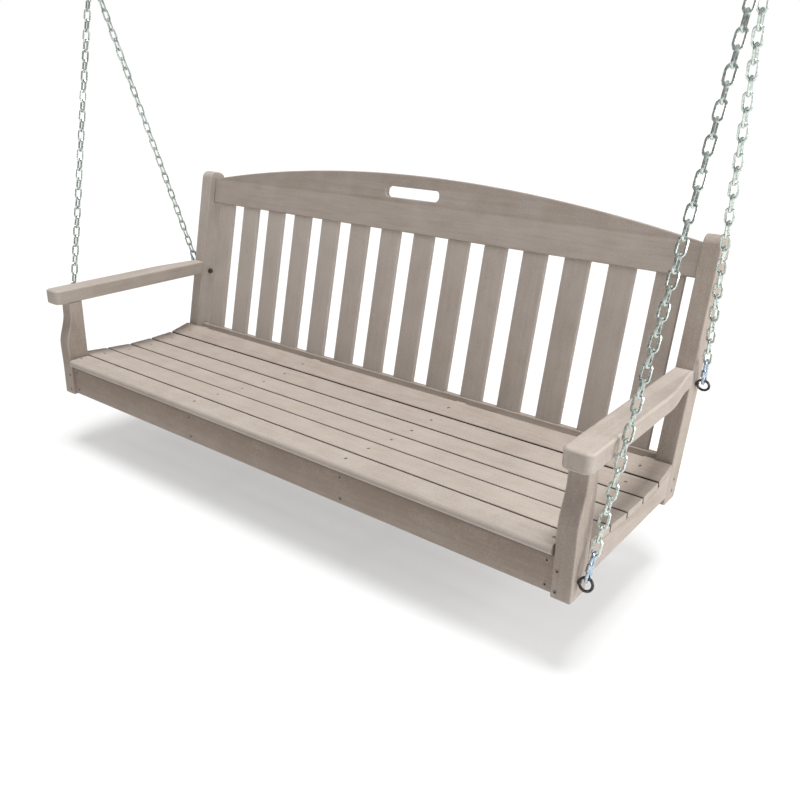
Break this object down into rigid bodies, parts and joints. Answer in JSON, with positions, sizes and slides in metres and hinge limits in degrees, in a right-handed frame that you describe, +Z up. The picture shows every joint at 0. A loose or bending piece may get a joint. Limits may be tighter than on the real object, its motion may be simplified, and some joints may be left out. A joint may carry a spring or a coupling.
{
  "type": "porch swing",
  "caption": "Slatted two-seat bench with arms, contoured seat, raked back and arched crest, hung on galvanised chains from ceiling brackets that swing fore and aft.",
  "frame": {"origin": "midway between the two ceiling brackets, in the plane of their top faces (the ceiling)", "axes": "+Z up; the seat faces -Y; +X to the right as seen from the front, along the line of the two brackets"},
  "size_m": [1.7534, 0.5762, 1.1298],
  "materials": {
    "lumber": "matte sand-grey poly lumber with a fine mottled grain",
    "chain": "bright galvanised",
    "zinc": "blue-white zinc plate",
    "black_steel": "black oxide, satin",
    "hanger_steel": "dark powder coat"
  },
  "bodies": {
    "ceiling_brackets": {"left_ceiling_bracket": "hanger_steel", "left_hanger_pin": "zinc", "right_ceiling_bracket": "hanger_steel", "right_hanger_pin": "zinc"},
    "left_swinging_eye": {"left_swinging_eye": "hanger_steel"},
    "left_chains": {"left_ring": "zinc", "left_front_chain": "chain", "left_front_quick_link": "zinc", "left_rear_chain": "chain", "left_rear_quick_link": "zinc"},
    "right_swinging_eye": {"right_swinging_eye": "hanger_steel"},
    "right_chains": {"right_ring": "zinc", "right_front_chain": "chain", "right_front_quick_link": "zinc", "right_rear_chain": "chain", "right_rear_quick_link": "zinc"},
    "bench": {"seat_slat_1": "lumber", "seat_slat_2": "lumber", "seat_slat_3": "lumber", "seat_slat_4": "lumber", "seat_slat_5": "lumber", "seat_slat_6": "lumber", "front_apron": "lumber", "left_side_rail": "lumber", "left_outer_rib": "lumber", "left_inner_rib": "lumber", "left_front_post": "lumber", "left_back_post": "lumber", "left_arm": "lumber", "right_side_rail": "lumber", "right_outer_rib": "lumber", "right_inner_rib": "lumber", "right_front_post": "lumber", "right_back_post": "lumber", "right_arm": "lumber", "crest_rail": "lumber", "lower_back_rail": "lumber", "back_slat_01": "lumber", "back_slat_02": "lumber", "back_slat_03": "lumber", "back_slat_04": "lumber", "back_slat_05": "lumber", "back_slat_06": "lumber", "back_slat_07": "lumber", "back_slat_08": "lumber", "back_slat_09": "lumber", "back_slat_10": "lumber", "back_slat_11": "lumber", "back_slat_12": "lumber", "back_slat_13": "lumber", "back_slat_14": "lumber", "left_front_eye_bolt": "black_steel", "left_front_eye_nut": "black_steel", "left_rear_eye_bolt": "black_steel", "left_rear_eye_nut": "black_steel", "right_front_eye_bolt": "black_steel", "right_front_eye_nut": "black_steel", "right_rear_eye_bolt": "black_steel", "right_rear_eye_nut": "black_steel"}
  },
  "joints": [
    {"name": "swing", "type": "hinge", "parent": "ceiling_brackets", "child": "left_swinging_eye", "pos_m": [-0.82673, 0, -0.026], "axis": [1, 0, 0], "range_deg": [-25, 25]},
    {"name": "right_eye_swing", "type": "hinge", "parent": "ceiling_brackets", "child": "right_swinging_eye", "pos_m": [0.82673, 0, -0.026], "axis": [1, 0, 0], "range_deg": [-25, 25]},
    {"name": "sway", "type": "hinge", "parent": "left_swinging_eye", "child": "left_chains", "pos_m": [-0.82673, 0, -0.0669], "axis": [0, 0.908, 0.4191], "range_deg": [-0.5, 0.5]},
    {"name": "bench_on_chains", "type": "hinge", "parent": "left_chains", "child": "bench", "pos_m": [-0.766, -0.25, -1.09334], "axis": [0, 0.908, 0.4191], "range_deg": [-0.56, 0.56]},
    {"name": "right_chain_sway", "type": "hinge", "parent": "right_swinging_eye", "child": "right_chains", "pos_m": [0.82673, 0, -0.0669], "axis": [0, 0.908, 0.4191], "range_deg": [-0.5, 0.5]}
  ],
  "couplings": [
    {"joint": "right_eye_swing", "follows": "swing", "ratio": 1},
    {"joint": "bench_on_chains", "follows": "sway", "ratio": -1.0793},
    {"joint": "right_chain_sway", "follows": "sway", "ratio": 1}
  ]
}
